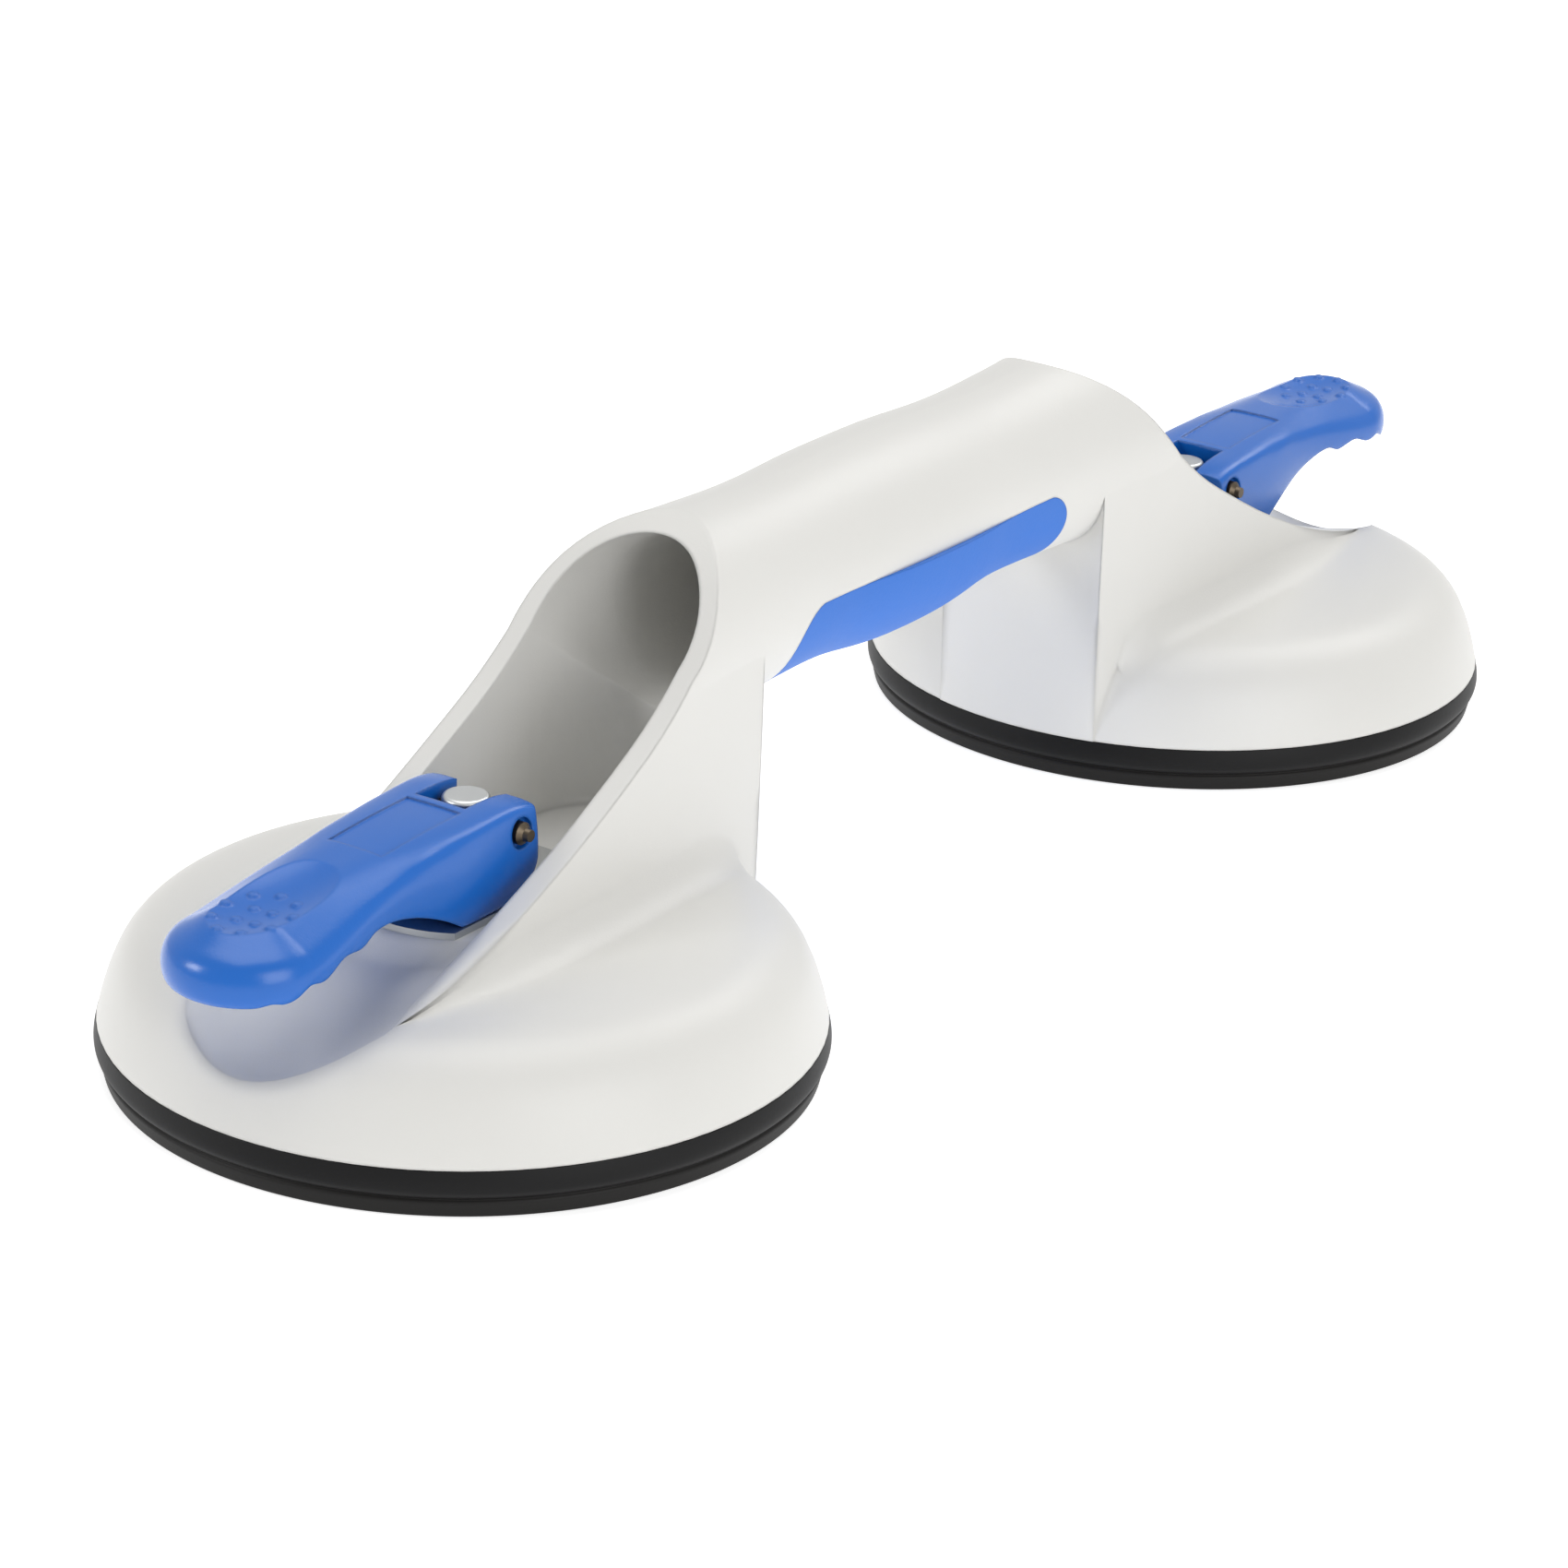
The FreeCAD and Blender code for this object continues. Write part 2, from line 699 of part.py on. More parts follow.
# ---- poses at rest -------------------------------------------------------
def lowered(shape, degrees):
    """A piece of the stud's body after the lever has turned that far."""
    copy = shape.copy()
    copy.translate(V(0, 0, -drop_rate * math.radians(degrees)))
    return copy


def lifted_lever(shape, degrees):
    """Cup A's lever turned tip-up about its pin, then carried down."""
    copy = shape.copy()
    copy.rotate(V(-cup_x, 0, pin_height), V(0, 1, 0), degrees)
    return lowered(copy, degrees)


def save(name, shape):
    shape.exportStep(os.path.join("parts", name + ".step"))


def main():
    os.makedirs("parts", exist_ok=True)
    save("housing", housing())
    save("grip_insert", grip_insert())
    plate = wear_plate()
    riding = {"insert_disc": insert_disc(), "draw_stud": draw_stud(),
              "pivot_pin": pivot_pin()}
    arm = lever()
    sag = drop_rate * math.radians(rest_turn_b)
    save("suction_pad_a", suction_pad(0.0))
    save("suction_pad_b", spun(suction_pad(sag)))
    save("wear_plate_a", plate)
    save("wear_plate_b", spun(plate))
    for name, shape in riding.items():
        save(name + "_a", shape)
        save(name + "_b", spun(lowered(shape, rest_turn_b)))
    save("lever_a", arm)
    save("lever_b", spun(lifted_lever(arm, rest_turn_b)))


main()
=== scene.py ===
"""Looks for a two-cup suction lifter: plastic, rubber and steel finishes, studio and camera.

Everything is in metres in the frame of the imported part: +Z up, the origin on the
floor midway between the cups, +X along the handle from cup a to cup b.
"""

import math

import bpy
import numpy as np
from bpy.props import FloatProperty, FloatVectorProperty, PointerProperty
from mathutils import Matrix, Vector


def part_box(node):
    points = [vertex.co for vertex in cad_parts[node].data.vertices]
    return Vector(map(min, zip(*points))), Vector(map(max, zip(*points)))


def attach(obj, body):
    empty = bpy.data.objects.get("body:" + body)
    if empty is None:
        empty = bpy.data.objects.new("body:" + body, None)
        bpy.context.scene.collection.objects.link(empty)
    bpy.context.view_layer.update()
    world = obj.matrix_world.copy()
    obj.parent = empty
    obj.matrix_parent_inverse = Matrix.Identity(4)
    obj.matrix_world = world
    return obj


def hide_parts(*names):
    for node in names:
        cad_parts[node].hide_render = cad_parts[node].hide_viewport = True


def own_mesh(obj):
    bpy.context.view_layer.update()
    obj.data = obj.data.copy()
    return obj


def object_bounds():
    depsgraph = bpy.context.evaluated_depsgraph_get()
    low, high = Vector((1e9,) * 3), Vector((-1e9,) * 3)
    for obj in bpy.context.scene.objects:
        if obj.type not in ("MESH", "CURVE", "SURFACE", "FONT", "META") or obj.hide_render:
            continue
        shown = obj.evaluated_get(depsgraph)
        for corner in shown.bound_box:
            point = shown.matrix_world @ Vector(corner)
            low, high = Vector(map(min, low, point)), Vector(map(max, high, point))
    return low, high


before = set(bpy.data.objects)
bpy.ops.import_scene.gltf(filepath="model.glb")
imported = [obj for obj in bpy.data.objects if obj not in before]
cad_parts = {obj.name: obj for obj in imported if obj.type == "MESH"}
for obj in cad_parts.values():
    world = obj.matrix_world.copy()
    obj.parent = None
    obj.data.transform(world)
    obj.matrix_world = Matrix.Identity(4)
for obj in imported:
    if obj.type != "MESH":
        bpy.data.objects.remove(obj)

bl_info = {
    "name": "Suction lifter looks",
    "version": (1, 0, 0),
    "blender": (4, 5, 0),
    "location": "3D Viewport > Sidebar > Lifter",
    "description": "Finishes, rubber pads and a small studio for a suction lifter",
    "category": "Object",
}

CUPS = ("a", "b")
CAD_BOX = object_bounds()

# Heights and reach of the zones where the housing's rounding changes.
THIN_RIM_FROM = 0.0335
SOFT_COVER_TO = 0.0305
SKIRT_TOP = 0.0095
SOFT_COVER_FROM = 0.0125
SCOOP_FROM = 0.138
SCOOP_TO = 0.152

# The pads' profiles: distances inside the rim's radius, and heights.
LIP_SWELL = 0.0006
SPLIT_INSIDE = 0.0124
HEEL_HEIGHT = 0.0012
CROWN_HEIGHT = 0.0071
SEAL_INSIDE = 0.0095
GROOVE_HEIGHT = 0.00305
RIM_HEIGHT = 0.00825
PLUG_HEIGHT = 0.0098
WEB_KNEE = 0.0037
RUBBER_UNDER_DISC = 0.0035
HUB_WALL = 0.0044
SEAT_PLAY = 0.00005
DISC_PLAY = 0.0001
SPLIT_PLAY = 0.0001
CENTRE_BORE = 0.0004
LIP_COLUMNS = 256
WEB_COLUMNS = 128

# The lighter, duller band at the bottom of a pad ends between these heights, and wanders by the
# third.
LOW_BAND_TOP = 0.0042
LOW_BAND_BOTTOM = 0.0034
LOW_BAND_WANDER = 0.0008

# The studio: what the camera and the lamps look at, and each lamp's place, size and setting.
CAMERA_AIM = (0.01739, 0.02693, 0.0)
LAMP_AIM = (0.0, 0.0, 0.03)
LAMPS = (
    ("left lamp", (-0.95, 0.70, 0.55), 0.34, "left_power"),
    ("right lamp", (0.95, -0.05, 1.00), 0.6, "right_power"),
    ("front lamp", (-0.38, -1.15, 0.50), 0.8, "front_power"),
    ("top lamp", (0.1, 0.2, 1.3), 1.0, "top_power"),
)
FLOOR_HALF = 6.0
FLOOR_DROP = 0.0002
PAPER_COLOUR = (0.80, 0.80, 0.80, 1.0)


def srgb(red, green, blue):
    """Linear colour of an 8-bit display colour."""
    def one(value):
        share = value / 255.0
        return share / 12.92 if share <= 0.04045 else ((share + 0.055) / 1.055) ** 2.4
    return (one(red), one(green), one(blue))


# ---- settings ------------------------------------------------------------
def colour(name, text, value):
    return FloatVectorProperty(name=name, description=text, subtype="COLOR", size=3,
                               min=0.0, max=1.0, default=value)


def share(name, text, value):
    return FloatProperty(name=name, description=text, subtype="FACTOR",
                         min=0.0, max=1.0, default=value)


def length(name, text, value):
    return FloatProperty(name=name, description=text, unit="LENGTH", subtype="DISTANCE",
                         min=0.0, default=value)


def strength(name, text, value):
    return FloatProperty(name=name, description=text, min=0.0, default=value)


def angle(name, text, degrees):
    return FloatProperty(name=name, description=text, subtype="ANGLE",
                         default=math.radians(degrees))


class LifterFinish(bpy.types.PropertyGroup):
    """Colours and gloss of the lifter's pieces."""

    housing_colour: colour("Housing", "Off-white of the moulded housing", srgb(222, 221, 217))
    lever_colour: colour("Levers", "Blue of the moulded levers", srgb(18, 101, 194))
    grip_colour: colour("Grip insert", "Blue of the soft insert", srgb(46, 113, 206))
    rubber_colour: colour("Rubber", "Near-black of the pads", srgb(7, 7, 8))
    # The pads' lowest band is drawn in this lighter, duller colour than the rest of the rubber.
    low_band_colour: colour("Lower band rubber", "Duller black of the pads' lowest band", srgb(22, 21, 20))
    zinc_colour: colour("Zinc plating", "Plated plates and studs", srgb(190, 192, 192))
    pin_colour: colour("Pins", "Brownish steel of the pivot pins", srgb(92, 82, 69))
    housing_gloss: share("Housing roughness", "Roughness of the housing", 0.42)
    lever_gloss: share("Lever roughness", "Roughness of the levers", 0.24)
    edge_radius: length("Edge radius", "Rounding seen along moulded edges", 0.0009)
    valley_radius: length("Valley radius", "Rounding seen where the towers meet the cups", 0.0032)


class LifterStudio(bpy.types.PropertyGroup):
    """Camera, lamps and backdrop."""

    camera_turn: angle("Camera azimuth", "Turn of the camera round the lifter", -55.5625)
    camera_rise: angle("Camera elevation", "Angle of the camera above the floor", 22.0915)
    camera_roll: angle("Camera roll", "Tilt of the camera about its line of sight", 1.917)
    camera_distance: length("Camera distance", "From the point it looks at", 0.92405)
    focal_length: strength("Focal length", "Lens of the camera in millimetres", 114.04)
    world_strength: strength("World strength", "Even light from all round", 0.31)
    left_power: strength("Left lamp", "Power of the lamp behind and to the left in watts", 3.6)
    right_power: strength("Right lamp", "Power of the high lamp on the right in watts", 4.0)
    top_power: strength("Top lamp", "Power of the overhead lamp in watts", 7.5)
    front_power: strength("Front lamp", "Power of the low lamp beside the camera in watts", 6.3)
    table_bounce: strength("Table bounce", "Glow of the floor as it lights the lifter", 0.6)
    paper_glow: strength("Backdrop glow", "How far the floor seen is lifted to white", 0.72)


# ---- node helpers --------------------------------------------------------
def new_material(name):
    """An empty node material with its output, and the Principled BSDF joined to it."""
    material = bpy.data.materials.new(name)
    material.use_nodes = True
    tree = material.node_tree
    tree.nodes.clear()
    output = tree.nodes.new("ShaderNodeOutputMaterial")
    shader = tree.nodes.new("ShaderNodeBsdfPrincipled")
    tree.links.new(shader.outputs[0], output.inputs[0])
    return material, tree, shader


def node(tree, kind, links=(), **values):
    """A node with attributes or socket values set, and (socket, source) links made."""
    made = tree.nodes.new(kind)
    for key, value in values.items():
        if hasattr(made, key):
            setattr(made, key, value)
        else:
            made.inputs[key.replace("_", " ")].default_value = value
    for socket, source in links:
        tree.links.new(source, made.inputs[socket])
    return made


def maths(tree, operation, *values):
    """Output of a math node; each value is a number or the socket it comes from."""
    made = tree.nodes.new("ShaderNodeMath")
    made.operation = operation
    for place, value in enumerate(values):
        if isinstance(value, (int, float)):
            made.inputs[place].default_value = value
        else:
            tree.links.new(value, made.inputs[place])
    return made.outputs[0]


def ramp(tree, source, low, high, to_low=0.0, to_high=1.0, clamp=True):
    """Output that runs from to_low to to_high as the source runs from low to high."""
    made = node(tree, "ShaderNodeMapRange", [("Value", source)], clamp=clamp)
    for name, value in (("From Min", low), ("From Max", high),
                        ("To Min", to_low), ("To Max", to_high)):
        made.inputs[name].default_value = value
    return made.outputs[0]


def new_group(name, inputs, outputs):
    """A shader node group with float or colour sockets, and its two end nodes."""
    tree = bpy.data.node_groups.new(name, "ShaderNodeTree")
    for label, kind, value in inputs:
        socket = tree.interface.new_socket(label, in_out="INPUT", socket_type=kind)
        if value is not None:
            socket.default_value = value
    for label, kind in outputs:
        tree.interface.new_socket(label, in_out="OUTPUT", socket_type=kind)
    return tree, tree.nodes.new("NodeGroupInput"), tree.nodes.new("NodeGroupOutput")


def moulded_grain():
    """Fine spark-eroded grain with slow cloudy variation, for all moulded plastic."""
    tree, start, end = new_group(
        "moulded grain",
        [("Colour", "NodeSocketColor", (0.8, 0.8, 0.8, 1.0)),
         ("Grain size", "NodeSocketFloat", 2600.0),
         ("Shade", "NodeSocketFloat", 0.03),
         ("Gloss", "NodeSocketFloat", 0.4)],
        [("Colour", "NodeSocketColor"), ("Roughness", "NodeSocketFloat"),
         ("Height", "NodeSocketFloat")])
    place = node(tree, "ShaderNodeTexCoord")
    grain = node(tree, "ShaderNodeTexNoise", [("Vector", place.outputs["Object"]),
                                              ("Scale", start.outputs["Grain size"])],
                 Detail=2.0, Roughness=0.6)
    cloud = node(tree, "ShaderNodeTexNoise", [("Vector", place.outputs["Object"])],
                 Scale=38.0, Detail=3.0, Roughness=0.55)
    centred = maths(tree, "SUBTRACT", cloud.outputs["Fac"], 0.5)
    value = maths(tree, "ADD", maths(tree, "MULTIPLY", centred, start.outputs["Shade"]), 1.0)
    tint = node(tree, "ShaderNodeHueSaturation", [("Color", start.outputs["Colour"]),
                                                  ("Value", value)])
    rough = maths(tree, "MULTIPLY_ADD", centred, 0.08, start.outputs["Gloss"])
    tree.links.new(tint.outputs["Color"], end.inputs["Colour"])
    tree.links.new(rough, end.inputs["Roughness"])
    tree.links.new(grain.outputs["Fac"], end.inputs["Height"])
    return tree


def soft_zone():
    """How softly the housing is rounded: 0 on thin rims, 1 on the covers, 2 in the scoops."""
    tree, _, end = new_group("soft zone", [], [("Share", "NodeSocketFloat")])
    place = node(tree, "ShaderNodeTexCoord")
    parts = node(tree, "ShaderNodeSeparateXYZ", [(0, place.outputs["Object"])])
    below_rims = ramp(tree, parts.outputs["Z"], THIN_RIM_FROM, SOFT_COVER_TO)
    above_skirt = ramp(tree, parts.outputs["Z"], SKIRT_TOP, SOFT_COVER_FROM)
    scoop = ramp(tree, maths(tree, "ABSOLUTE", parts.outputs["X"]), SCOOP_FROM, SCOOP_TO, 1.0, 2.0)
    level = maths(tree, "MULTIPLY", maths(tree, "MULTIPLY", below_rims, above_skirt), scoop)
    tree.links.new(level, end.inputs["Share"])
    return tree


def plastic(name, colour_value, roughness, edge, grain, depth, shade, valley=0.0, level=0.5):
    """Satin moulded plastic: grained surface, softly rounded edges, slight sheen.

    With a valley radius the rounding grows from the edge radius to it as the soft zone
    goes from 0 to 1, and on beyond it.
    """
    material, tree, shader = new_material(name)
    group = node(tree, "ShaderNodeGroup", node_tree=bpy.data.node_groups["moulded grain"])
    group.inputs["Colour"].default_value = (*colour_value, 1.0)
    group.inputs["Grain size"].default_value = grain
    group.inputs["Shade"].default_value = shade
    group.inputs["Gloss"].default_value = roughness
    soft = node(tree, "ShaderNodeBevel", samples=6)
    soft.inputs["Radius"].default_value = edge
    if valley > 0.0:
        zone = node(tree, "ShaderNodeGroup", node_tree=bpy.data.node_groups["soft zone"])
        size = ramp(tree, zone.outputs[0], 0.0, 1.0, edge, valley, clamp=False)
        tree.links.new(size, soft.inputs["Radius"])
    bump = node(tree, "ShaderNodeBump", [("Height", group.outputs["Height"]),
                                         ("Normal", soft.outputs[0])], Strength=0.35)
    bump.inputs["Distance"].default_value = depth
    tree.links.new(group.outputs["Colour"], shader.inputs["Base Color"])
    tree.links.new(group.outputs["Roughness"], shader.inputs["Roughness"])
    tree.links.new(bump.outputs[0], shader.inputs["Normal"])
    shader.inputs["IOR"].default_value = 1.48
    shader.inputs["Specular IOR Level"].default_value = level
    return material


def metal(name, colour_value, roughness):
    """Plated or plain steel with fine scratches and slightly mottled gloss."""
    material, tree, shader = new_material(name)
    place = node(tree, "ShaderNodeTexCoord")
    noise = node(tree, "ShaderNodeTexNoise", [("Vector", place.outputs["Object"])],
                 Scale=900.0, Detail=4.0, Roughness=0.6)
    mottled = ramp(tree, noise.outputs["Fac"], 0.0, 1.0, roughness - 0.08, roughness + 0.10)
    bump = node(tree, "ShaderNodeBump", [("Height", noise.outputs["Fac"])], Strength=0.2)
    bump.inputs["Distance"].default_value = 0.00004
    tree.links.new(mottled, shader.inputs["Roughness"])
    tree.links.new(bump.outputs[0], shader.inputs["Normal"])
    shader.inputs["Base Color"].default_value = (*colour_value, 1.0)
    shader.inputs["Metallic"].default_value = 1.0
    return material


def finish(obj, material):
    """Give an object one material in its only slot."""
    obj.data.materials.clear()
    obj.data.materials.append(material)


# ---- turned pieces -------------------------------------------------------
def rounded(corners, sizes, steps=7):
    """A closed profile whose corners are each replaced by a short parabola.

    The parabola leaves one leg at the corner's size, or at 0.48 of the leg if that is
    less, bends towards the corner and meets the other leg as far along.
    """
    corners = np.array(corners, float)
    sizes = np.array(sizes, float)[:, None]
    ends = []
    for shift in (1, -1):
        leg = np.roll(corners, shift, axis=0) - corners
        full = np.linalg.norm(leg, axis=1, keepdims=True)
        ends.append(corners + leg * np.minimum(sizes / full, 0.48))
    t = np.linspace(0.0, 1.0, steps)[None, :, None]
    start, middle, end = (part[:, None, :] for part in (ends[0], corners, ends[1]))
    return ((1.0 - t) ** 2 * start + 2.0 * t * (1.0 - t) * middle + t ** 2 * end).reshape(-1, 2)


def turned_ring(name, profile, centre, columns):
    """A solid of revolution: the closed profile (radius, height), turned about the upright axis.

    Point (i, j) is (radius_i cos a_j, radius_i sin a_j, height_i) beside the centre, with
    a_j = 2 pi j / columns. The profile runs anticlockwise, and both directions close.
    """
    angles = np.linspace(0.0, 2.0 * math.pi, columns, endpoint=False)
    radius = profile[:, :1]
    points = np.stack([centre[0] + radius * np.cos(angles), centre[1] + radius * np.sin(angles),
                       profile[:, 1:] + 0.0 * angles], axis=-1).reshape(-1, 3)
    rows = len(profile)
    i, j = np.meshgrid(np.arange(rows), np.arange(columns), indexing="ij")
    up = (i + 1) % rows
    on = (j + 1) % columns
    quads = np.stack([i * columns + j, i * columns + on, up * columns + on, up * columns + j],
                     axis=-1).reshape(-1, 4)
    mesh = bpy.data.meshes.new(name)
    mesh.from_pydata(points.tolist(), [], quads.tolist())
    mesh.polygons.foreach_set("use_smooth", np.ones(len(quads), bool))
    mesh.update()
    piece = bpy.data.objects.new(name, mesh)
    bpy.context.scene.collection.objects.link(piece)
    return piece


def lip_profile(r):
    """The lip's rounded profile: sealing ring, groove, outer band and the plug in the rim."""
    split = r - SPLIT_INSIDE
    corners = [(split, HEEL_HEIGHT), (r - SEAL_INSIDE, 0.0), (r - 0.00095, 0.0),
               (r - 0.00035, 0.0026), (r - 0.00085, GROOVE_HEIGHT), (r + 0.00035, 0.0041),
               (r + LIP_SWELL, 0.0055), (r, RIM_HEIGHT), (r - 0.0033, RIM_HEIGHT),
               (r - 0.0035, PLUG_HEIGHT), (r - 0.0056, PLUG_HEIGHT), (r - 0.0082, 0.0068),
               (split, CROWN_HEIGHT)]
    bends = [0.0001, 0.0015, 0.0003, 0.0004, 0.00012, 0.0012, 0.0014,
             0.0003, 0.0001, 0.0003, 0.0015, 0.0015, 0.0001]
    return rounded(corners, bends)


def web_profile(r, disc_radius, seat, brim):
    """The web's rounded profile: underside, flexing ring, hub wall and the disc's seat."""
    under = seat - RUBBER_UNDER_DISC
    hub = disc_radius + HUB_WALL
    edge = r - SPLIT_INSIDE - SPLIT_PLAY
    corners = [(CENTRE_BORE, under), (hub, under), (hub + 0.004, under - 0.0007),
               (r - 0.020, WEB_KNEE), (edge, HEEL_HEIGHT), (edge, CROWN_HEIGHT),
               (r - 0.0175, under - 0.0002), (hub + 0.005, under + 0.003),
               (hub, brim - 0.0006), (hub - 0.0012, brim), (disc_radius, brim),
               (disc_radius, seat), (CENTRE_BORE, seat)]
    bends = [0.00005, 0.004, 0.002, 0.003, 0.0001, 0.0001, 0.003,
             0.002, 0.001, 0.0003, 0.0003, 0.0003, 0.00005]
    return rounded(corners, bends)


def pad_pieces(cup, material):
    """A pad in two pieces: the lip held in the cover's rim, and the web that the disc pushes.

    They meet low over the lip's heel, where the web moves least as it flattens.
    """
    low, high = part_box("suction_pad_" + cup)
    disc_low, disc_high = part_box("insert_disc_" + cup)
    centre = ((disc_low.x + disc_high.x) / 2.0, 0.0)
    r = (high.y - low.y) / 2.0 - LIP_SWELL
    seat = disc_low.z - SEAT_PLAY
    disc_radius = (disc_high.x - disc_low.x) / 2.0 + DISC_PLAY
    lip = turned_ring("pad_lip_" + cup, lip_profile(r), centre, LIP_COLUMNS)
    web = turned_ring("pad_web_" + cup, web_profile(r, disc_radius, seat, disc_high.z),
                      centre, WEB_COLUMNS)
    for piece in (lip, web):
        finish(piece, material)
        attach(piece, "housing")
        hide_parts("suction_pad_" + cup)
    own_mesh(web)


# ---- operators -----------------------------------------------------------
class LIFTER_OT_housing(bpy.types.Operator):
    """Give the moulded housing its off-white grained finish"""

    bl_idname = "lifter.housing"
    bl_label = "Housing"

    def execute(self, context):
        look = context.scene.lifter_finish
        moulded_grain()
        soft_zone()
        material = plastic("housing plastic", look.housing_colour, look.housing_gloss,
                           look.edge_radius, 2600.0, 0.00006, 0.03, look.valley_radius)
        finish(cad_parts["housing"], material)
        return {"FINISHED"}


class LIFTER_OT_blue(bpy.types.Operator):
    """Give the levers and the grip insert their blue finishes"""

    bl_idname = "lifter.blue"
    bl_label = "Levers and grip"

    def execute(self, context):
        look = context.scene.lifter_finish
        arm = plastic("lever plastic", look.lever_colour, look.lever_gloss,
                      look.edge_radius, 2200.0, 0.00006, 0.05)
        soft = plastic("soft grip", look.grip_colour, 0.55, 0.0005, 1500.0, 0.00012, 0.05)
        for cup in CUPS:
            finish(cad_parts["lever_" + cup], arm)
        finish(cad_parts["grip_insert"], soft)
        return {"FINISHED"}


def lighter_low_band(material, bottom_colour):
    """Turn the lowest band of a pad, next to the floor, to the lighter and duller colour."""
    tree = material.node_tree
    target = next(item for item in tree.nodes if item.type == "GROUP").inputs["Colour"]
    place = node(tree, "ShaderNodeTexCoord")
    parts = node(tree, "ShaderNodeSeparateXYZ", [(0, place.outputs["Object"])])
    patch = node(tree, "ShaderNodeTexNoise", [("Vector", place.outputs["Object"])],
                 Scale=120.0, Detail=4.0, Roughness=0.6)
    wave = maths(tree, "MULTIPLY_ADD", patch.outputs["Fac"], LOW_BAND_WANDER, parts.outputs["Z"])
    mix = node(tree, "ShaderNodeMix", data_type="RGBA")
    upper_end, lower_end = (item for item in mix.inputs if item.type == "RGBA")
    upper_end.default_value = target.default_value
    lower_end.default_value = (*bottom_colour, 1.0)
    # Below the band's wandering edge the pad takes the lighter, duller colour.
    tree.links.new(ramp(tree, wave, LOW_BAND_TOP, LOW_BAND_BOTTOM), mix.inputs[0])
    tree.links.new(next(item for item in mix.outputs if item.type == "RGBA"), target)


class LIFTER_OT_pads(bpy.types.Operator):
    """Rubber pads under both cups"""

    bl_idname = "lifter.pads"
    bl_label = "Rubber pads"

    def execute(self, context):
        look = context.scene.lifter_finish
        rubber = plastic("pad rubber", look.rubber_colour, 0.5, 0.0003, 1200.0, 0.00005, 0.1,
                         level=0.22)
        lighter_low_band(rubber, look.low_band_colour)
        for cup in CUPS:
            pad_pieces(cup, rubber)
        return {"FINISHED"}


class LIFTER_OT_steel(bpy.types.Operator):
    """Wear plates, studs, pins and discs in plated and plain steel"""

    bl_idname = "lifter.steel"
    bl_label = "Steel parts"

    def execute(self, context):
        look = context.scene.lifter_finish
        zinc = metal("zinc plating", look.zinc_colour, 0.36)
        pin = metal("pin steel", look.pin_colour, 0.38)
        for cup in CUPS:
            finish(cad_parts["wear_plate_" + cup], zinc)
            finish(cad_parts["draw_stud_" + cup], zinc)
            finish(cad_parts["insert_disc_" + cup], zinc)
            finish(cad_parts["pivot_pin_" + cup], pin)
        return {"FINISHED"}


def camera_matrix(studio):
    """World matrix of the camera from its azimuth, elevation, roll, distance and target."""
    turn = studio.camera_turn
    rise = studio.camera_rise
    back = Vector((math.sin(turn) * math.cos(rise), -math.cos(turn) * math.cos(rise),
                   math.sin(rise)))
    right = Vector((0.0, 0.0, 1.0)).cross(back).normalized()
    up = back.cross(right)
    c = math.cos(studio.camera_roll)
    s = math.sin(studio.camera_roll)
    across = c * right + s * up
    above = c * up - s * right
    matrix = Matrix((across, above, back)).transposed().to_4x4()
    matrix.translation = Vector(CAMERA_AIM) + studio.camera_distance * back
    return matrix


def area_lamp(name, place, aim, size, power):
    """A square soft lamp that looks at a point."""
    data = bpy.data.lights.new(name, "AREA")
    data.size = size
    data.energy = power
    lamp = bpy.data.objects.new(name, data)
    bpy.context.scene.collection.objects.link(lamp)
    lamp.location = place
    lamp.rotation_mode = "QUATERNION"
    lamp.rotation_quaternion = (Vector(place) - Vector(aim)).to_track_quat("Z", "Y")
    return lamp


def seen_share(tree):
    """1 for camera, mirror and see-through rays, else 0."""
    path = node(tree, "ShaderNodeLightPath")
    direct = maths(tree, "MAXIMUM", path.outputs["Is Camera Ray"], path.outputs["Is Glossy Ray"])
    return maths(tree, "MAXIMUM", direct, path.outputs["Is Transmission Ray"])


def backdrop_material(glow, bounce):
    """Matt pale paper, lifted to white where it is seen, that keeps the shadow.

    The other rays meet a weaker glow, the light a lit table throws back up.
    """
    material = bpy.data.materials.new("studio floor")
    material.use_nodes = True
    tree = material.node_tree
    tree.nodes.clear()
    output = node(tree, "ShaderNodeOutputMaterial")
    paper = node(tree, "ShaderNodeBsdfDiffuse")
    paper.inputs["Color"].default_value = PAPER_COLOUR
    table = node(tree, "ShaderNodeEmission")
    table.inputs["Strength"].default_value = bounce
    lift = node(tree, "ShaderNodeEmission")
    lift.inputs["Strength"].default_value = glow
    light = node(tree, "ShaderNodeMixShader", [(0, seen_share(tree)), (1, table.outputs[0]),
                                               (2, lift.outputs[0])])
    both = node(tree, "ShaderNodeAddShader", [(0, paper.outputs[0]), (1, light.outputs[0])])
    tree.links.new(both.outputs[0], output.inputs[0])
    return material


def add_floor(scene, studio):
    """A square pale floor just under the pads."""
    z = CAD_BOX[0].z - FLOOR_DROP
    corners = [(-FLOOR_HALF, -FLOOR_HALF, z), (FLOOR_HALF, -FLOOR_HALF, z),
               (FLOOR_HALF, FLOOR_HALF, z), (-FLOOR_HALF, FLOOR_HALF, z)]
    mesh = bpy.data.meshes.new("floor")
    mesh.from_pydata(corners, [], [(0, 1, 2, 3)])
    mesh.materials.append(backdrop_material(studio.paper_glow, studio.table_bounce))
    floor = bpy.data.objects.new("floor", mesh)
    scene.collection.objects.link(floor)


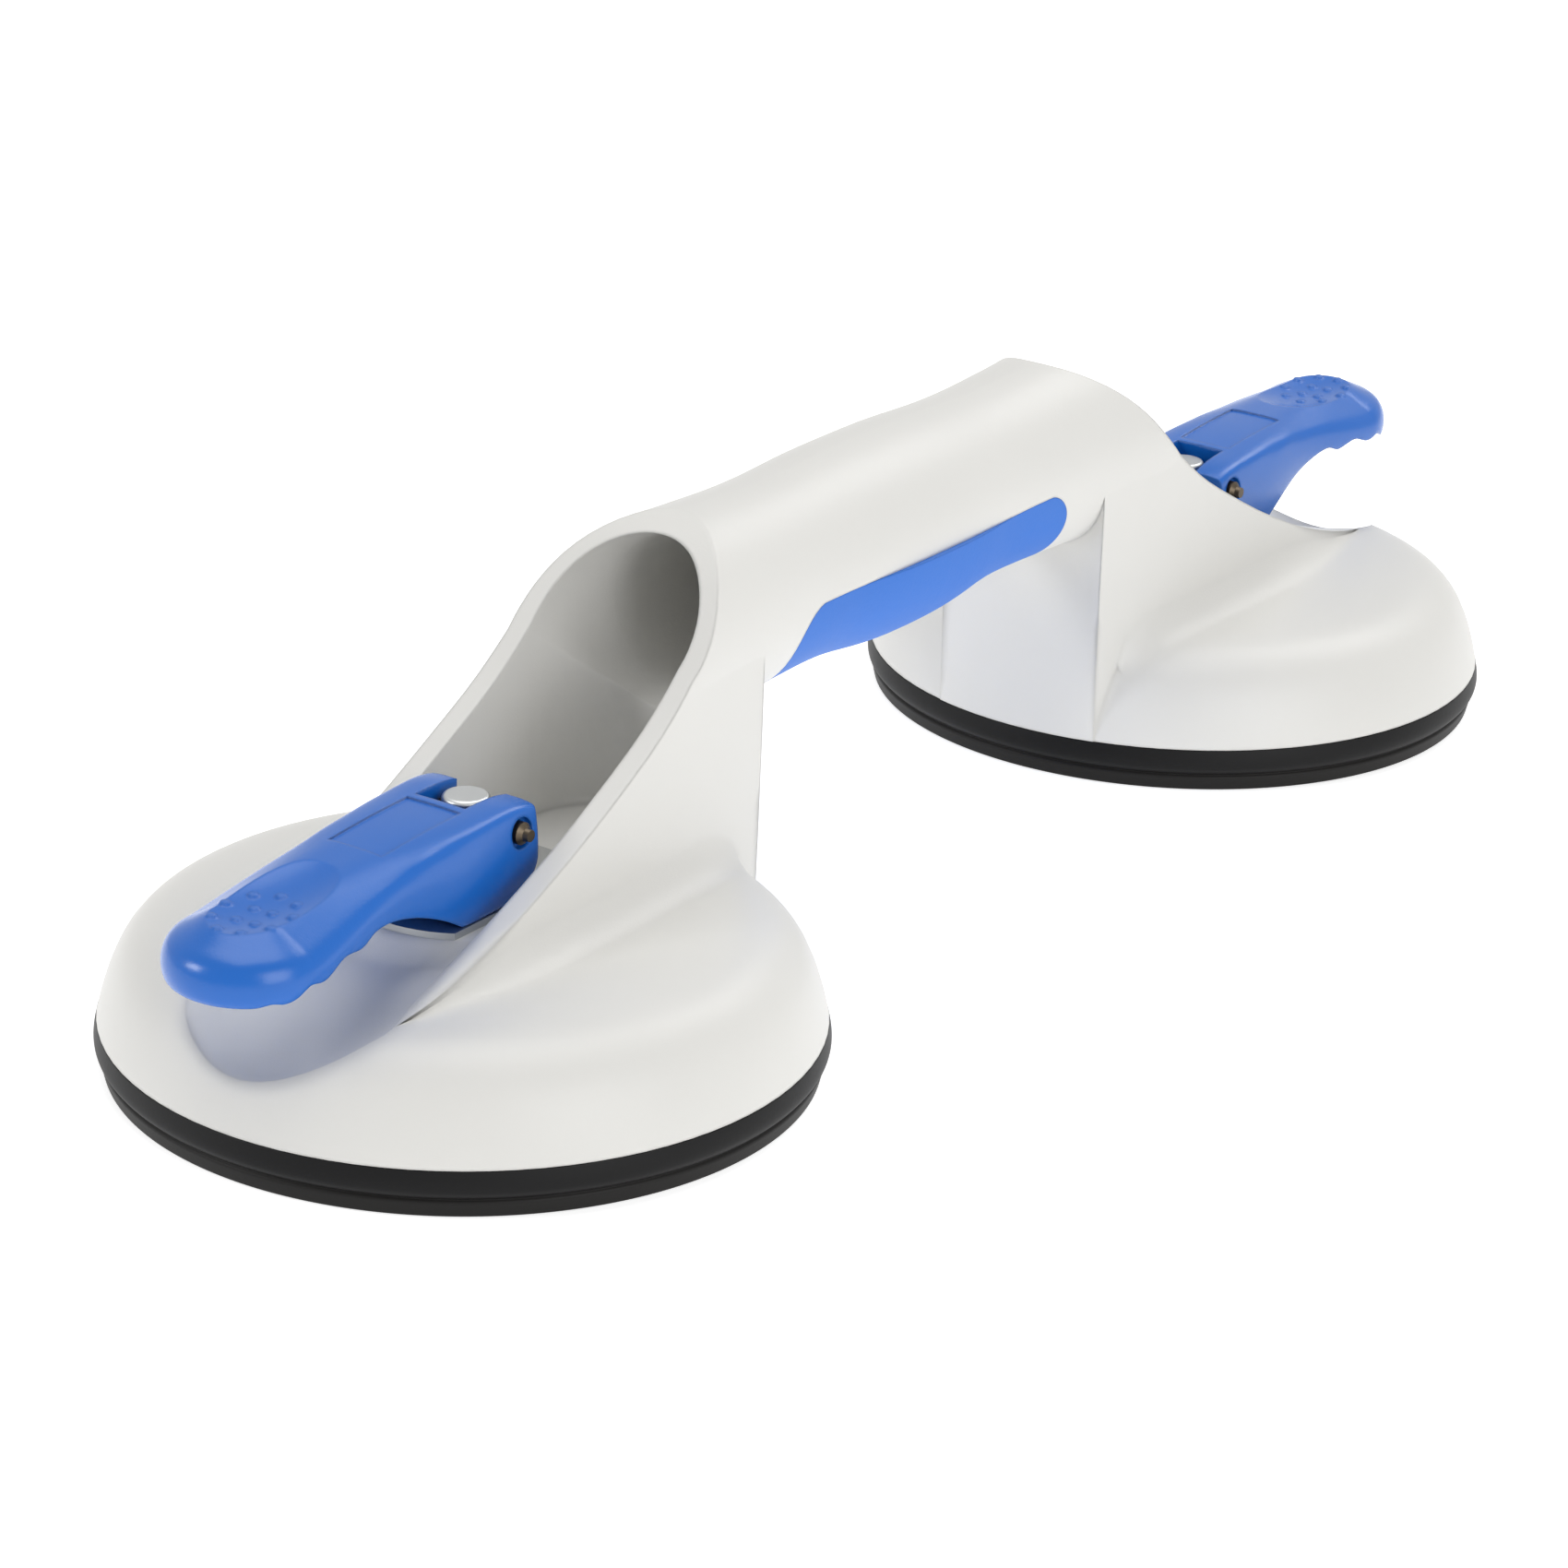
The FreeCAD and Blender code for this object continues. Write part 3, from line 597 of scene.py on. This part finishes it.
def add_world(scene, studio):
    """White surroundings where they are seen, and a weaker even light elsewhere."""
    world = bpy.data.worlds.new("studio")
    scene.world = world
    world.use_nodes = True
    tree = world.node_tree
    tree.nodes.clear()
    output = node(tree, "ShaderNodeOutputWorld")
    light = node(tree, "ShaderNodeBackground")
    light.inputs["Strength"].default_value = studio.world_strength
    seen = node(tree, "ShaderNodeBackground")
    seen.inputs["Strength"].default_value = 1.0
    mix = node(tree, "ShaderNodeMixShader", [(0, seen_share(tree)), (1, light.outputs[0]),
                                             (2, seen.outputs[0])])
    tree.links.new(mix.outputs[0], output.inputs[0])


def add_camera(scene, studio):
    """The scene's camera, from the studio's settings."""
    data = bpy.data.cameras.new("camera")
    data.sensor_width = 36.0
    data.lens = studio.focal_length
    data.clip_start = 0.02
    data.clip_end = 20.0
    camera = bpy.data.objects.new("camera", data)
    scene.collection.objects.link(camera)
    camera.matrix_world = camera_matrix(studio)
    scene.camera = camera


class LIFTER_OT_stage(bpy.types.Operator):
    """Pale floor, soft lamps, even white surroundings and the camera"""

    bl_idname = "lifter.stage"
    bl_label = "Studio"

    def execute(self, context):
        scene = context.scene
        studio = scene.lifter_studio
        add_floor(scene, studio)
        add_world(scene, studio)
        for name, place, size, setting in LAMPS:
            area_lamp(name, place, LAMP_AIM, size, getattr(studio, setting))
        add_camera(scene, studio)
        scene.view_settings.view_transform = "Standard"
        return {"FINISHED"}


class LIFTER_PT_panel(bpy.types.Panel):
    """Sidebar panel that lists the settings and the steps"""

    bl_idname = "LIFTER_PT_panel"
    bl_label = "Suction lifter"
    bl_space_type = "VIEW_3D"
    bl_region_type = "UI"
    bl_category = "Lifter"

    def draw(self, context):
        for group in (context.scene.lifter_finish, context.scene.lifter_studio):
            box = self.layout.box()
            for name in group.__annotations__:
                box.prop(group, name)
        for operator in OPERATORS:
            self.layout.operator(operator.bl_idname)


OPERATORS = (LIFTER_OT_housing, LIFTER_OT_blue, LIFTER_OT_pads, LIFTER_OT_steel, LIFTER_OT_stage)
CLASSES = (LifterFinish, LifterStudio, *OPERATORS, LIFTER_PT_panel)


def register():
    for cls in CLASSES:
        bpy.utils.register_class(cls)
    bpy.types.Scene.lifter_finish = PointerProperty(type=LifterFinish)
    bpy.types.Scene.lifter_studio = PointerProperty(type=LifterStudio)


def unregister():
    del bpy.types.Scene.lifter_studio
    del bpy.types.Scene.lifter_finish
    for cls in reversed(CLASSES):
        bpy.utils.unregister_class(cls)


def main():
    """Run every step in order."""
    register()
    bpy.ops.lifter.housing()
    bpy.ops.lifter.blue()
    bpy.ops.lifter.pads()
    bpy.ops.lifter.steel()
    bpy.ops.lifter.stage()


if __name__ == "__main__":
    main()
